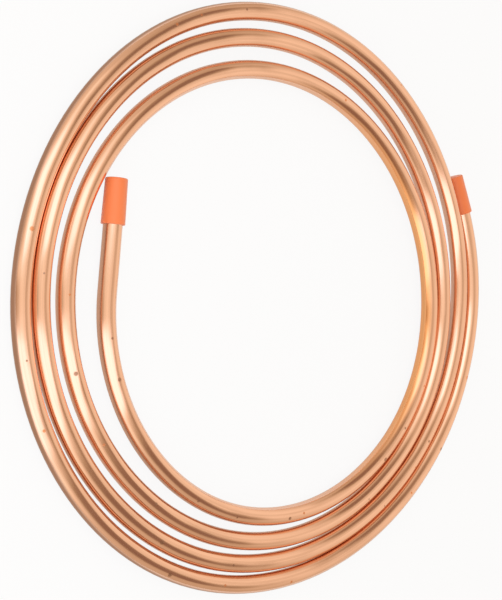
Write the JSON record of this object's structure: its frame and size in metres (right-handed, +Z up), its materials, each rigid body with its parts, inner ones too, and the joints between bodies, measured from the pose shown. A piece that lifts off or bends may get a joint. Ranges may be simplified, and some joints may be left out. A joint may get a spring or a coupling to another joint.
{
  "type": "copper tube coil",
  "caption": "Flat open coil of soft copper tube, wound in one layer, with a soft cap over each cut end, sold as stock for plumbing and refrigerant lines.",
  "frame": {"origin": "centre of the coil's overall box, at the level of the floor that it lies on", "axes": "+Z up from the floor, along the axis of the winding; +Y the way both capped ends point; +X towards the outer end"},
  "size_m": [0.315, 0.3074, 0.015],
  "materials": {
    "copper": "bright drawn and annealed copper, soft sheen with mirror-like reflections along the tube",
    "cap_vinyl": "satin dip-moulded vinyl, orange"
  },
  "bodies": {
    "root": {"copper_tube": "copper", "inner_end_cap": "cap_vinyl", "outer_end_cap": "cap_vinyl"}
  },
  "joints": []
}
